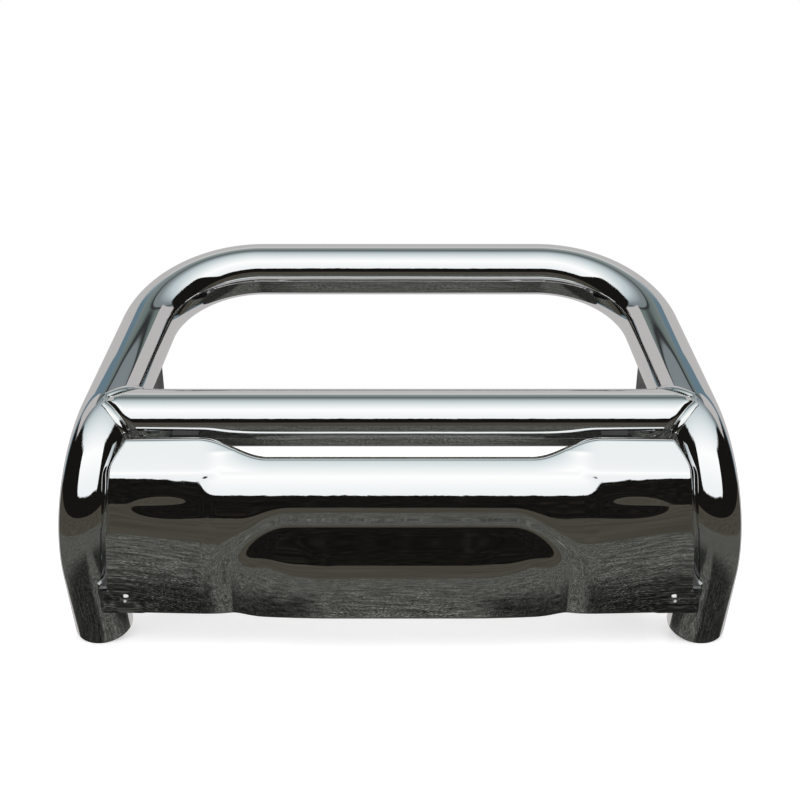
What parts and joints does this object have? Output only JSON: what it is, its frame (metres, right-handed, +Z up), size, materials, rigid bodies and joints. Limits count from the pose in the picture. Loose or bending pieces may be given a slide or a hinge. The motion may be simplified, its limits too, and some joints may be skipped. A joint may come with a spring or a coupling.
{
  "type": "front grille guard",
  "caption": "Bent tube front guard with a cross tube, a pressed skid plate between the legs and two frame brackets with slotted rear flanges.",
  "frame": {"origin": "middle of the four chassis bolt slots, on the rear face of the bracket flanges", "axes": "+X across the vehicle, to the right of someone facing the guard; +Y back towards the vehicle; +Z up"},
  "size_m": [0.8832, 0.4043, 0.5056],
  "materials": {
    "main_hoop": "mirror-polished stainless tube",
    "cross_tube": "mirror-polished stainless tube",
    "end_plug": "black moulded plug",
    "skid_plate": "mirror-polished pressed stainless sheet",
    "skid_tab": "welded stainless flat bar, mill finish",
    "skid_fastener": "stainless button-head fixing",
    "mount_tab": "welded stainless plate, ground edges",
    "frame_bracket": "black powder coat",
    "bracket_fastener": "zinc-plated hardware"
  },
  "bodies": {
    "root": {"main_hoop": "main_hoop", "cross_tube": "cross_tube", "end_plug_left": "end_plug", "end_plug_right": "end_plug", "skid_plate": "skid_plate", "skid_tab_upper_left": "skid_tab", "skid_tab_upper_right": "skid_tab", "skid_tab_lower_left": "skid_tab", "skid_tab_lower_right": "skid_tab", "skid_screws": "skid_fastener", "skid_washers": "skid_fastener", "skid_nuts": "skid_fastener", "mount_tab_left": "mount_tab", "mount_tab_right": "mount_tab", "frame_bracket_left": "frame_bracket", "frame_bracket_right": "frame_bracket", "bracket_bolts": "bracket_fastener", "bracket_washers": "bracket_fastener", "bracket_lock_washers": "bracket_fastener", "bracket_nuts": "bracket_fastener"}
  },
  "joints": []
}
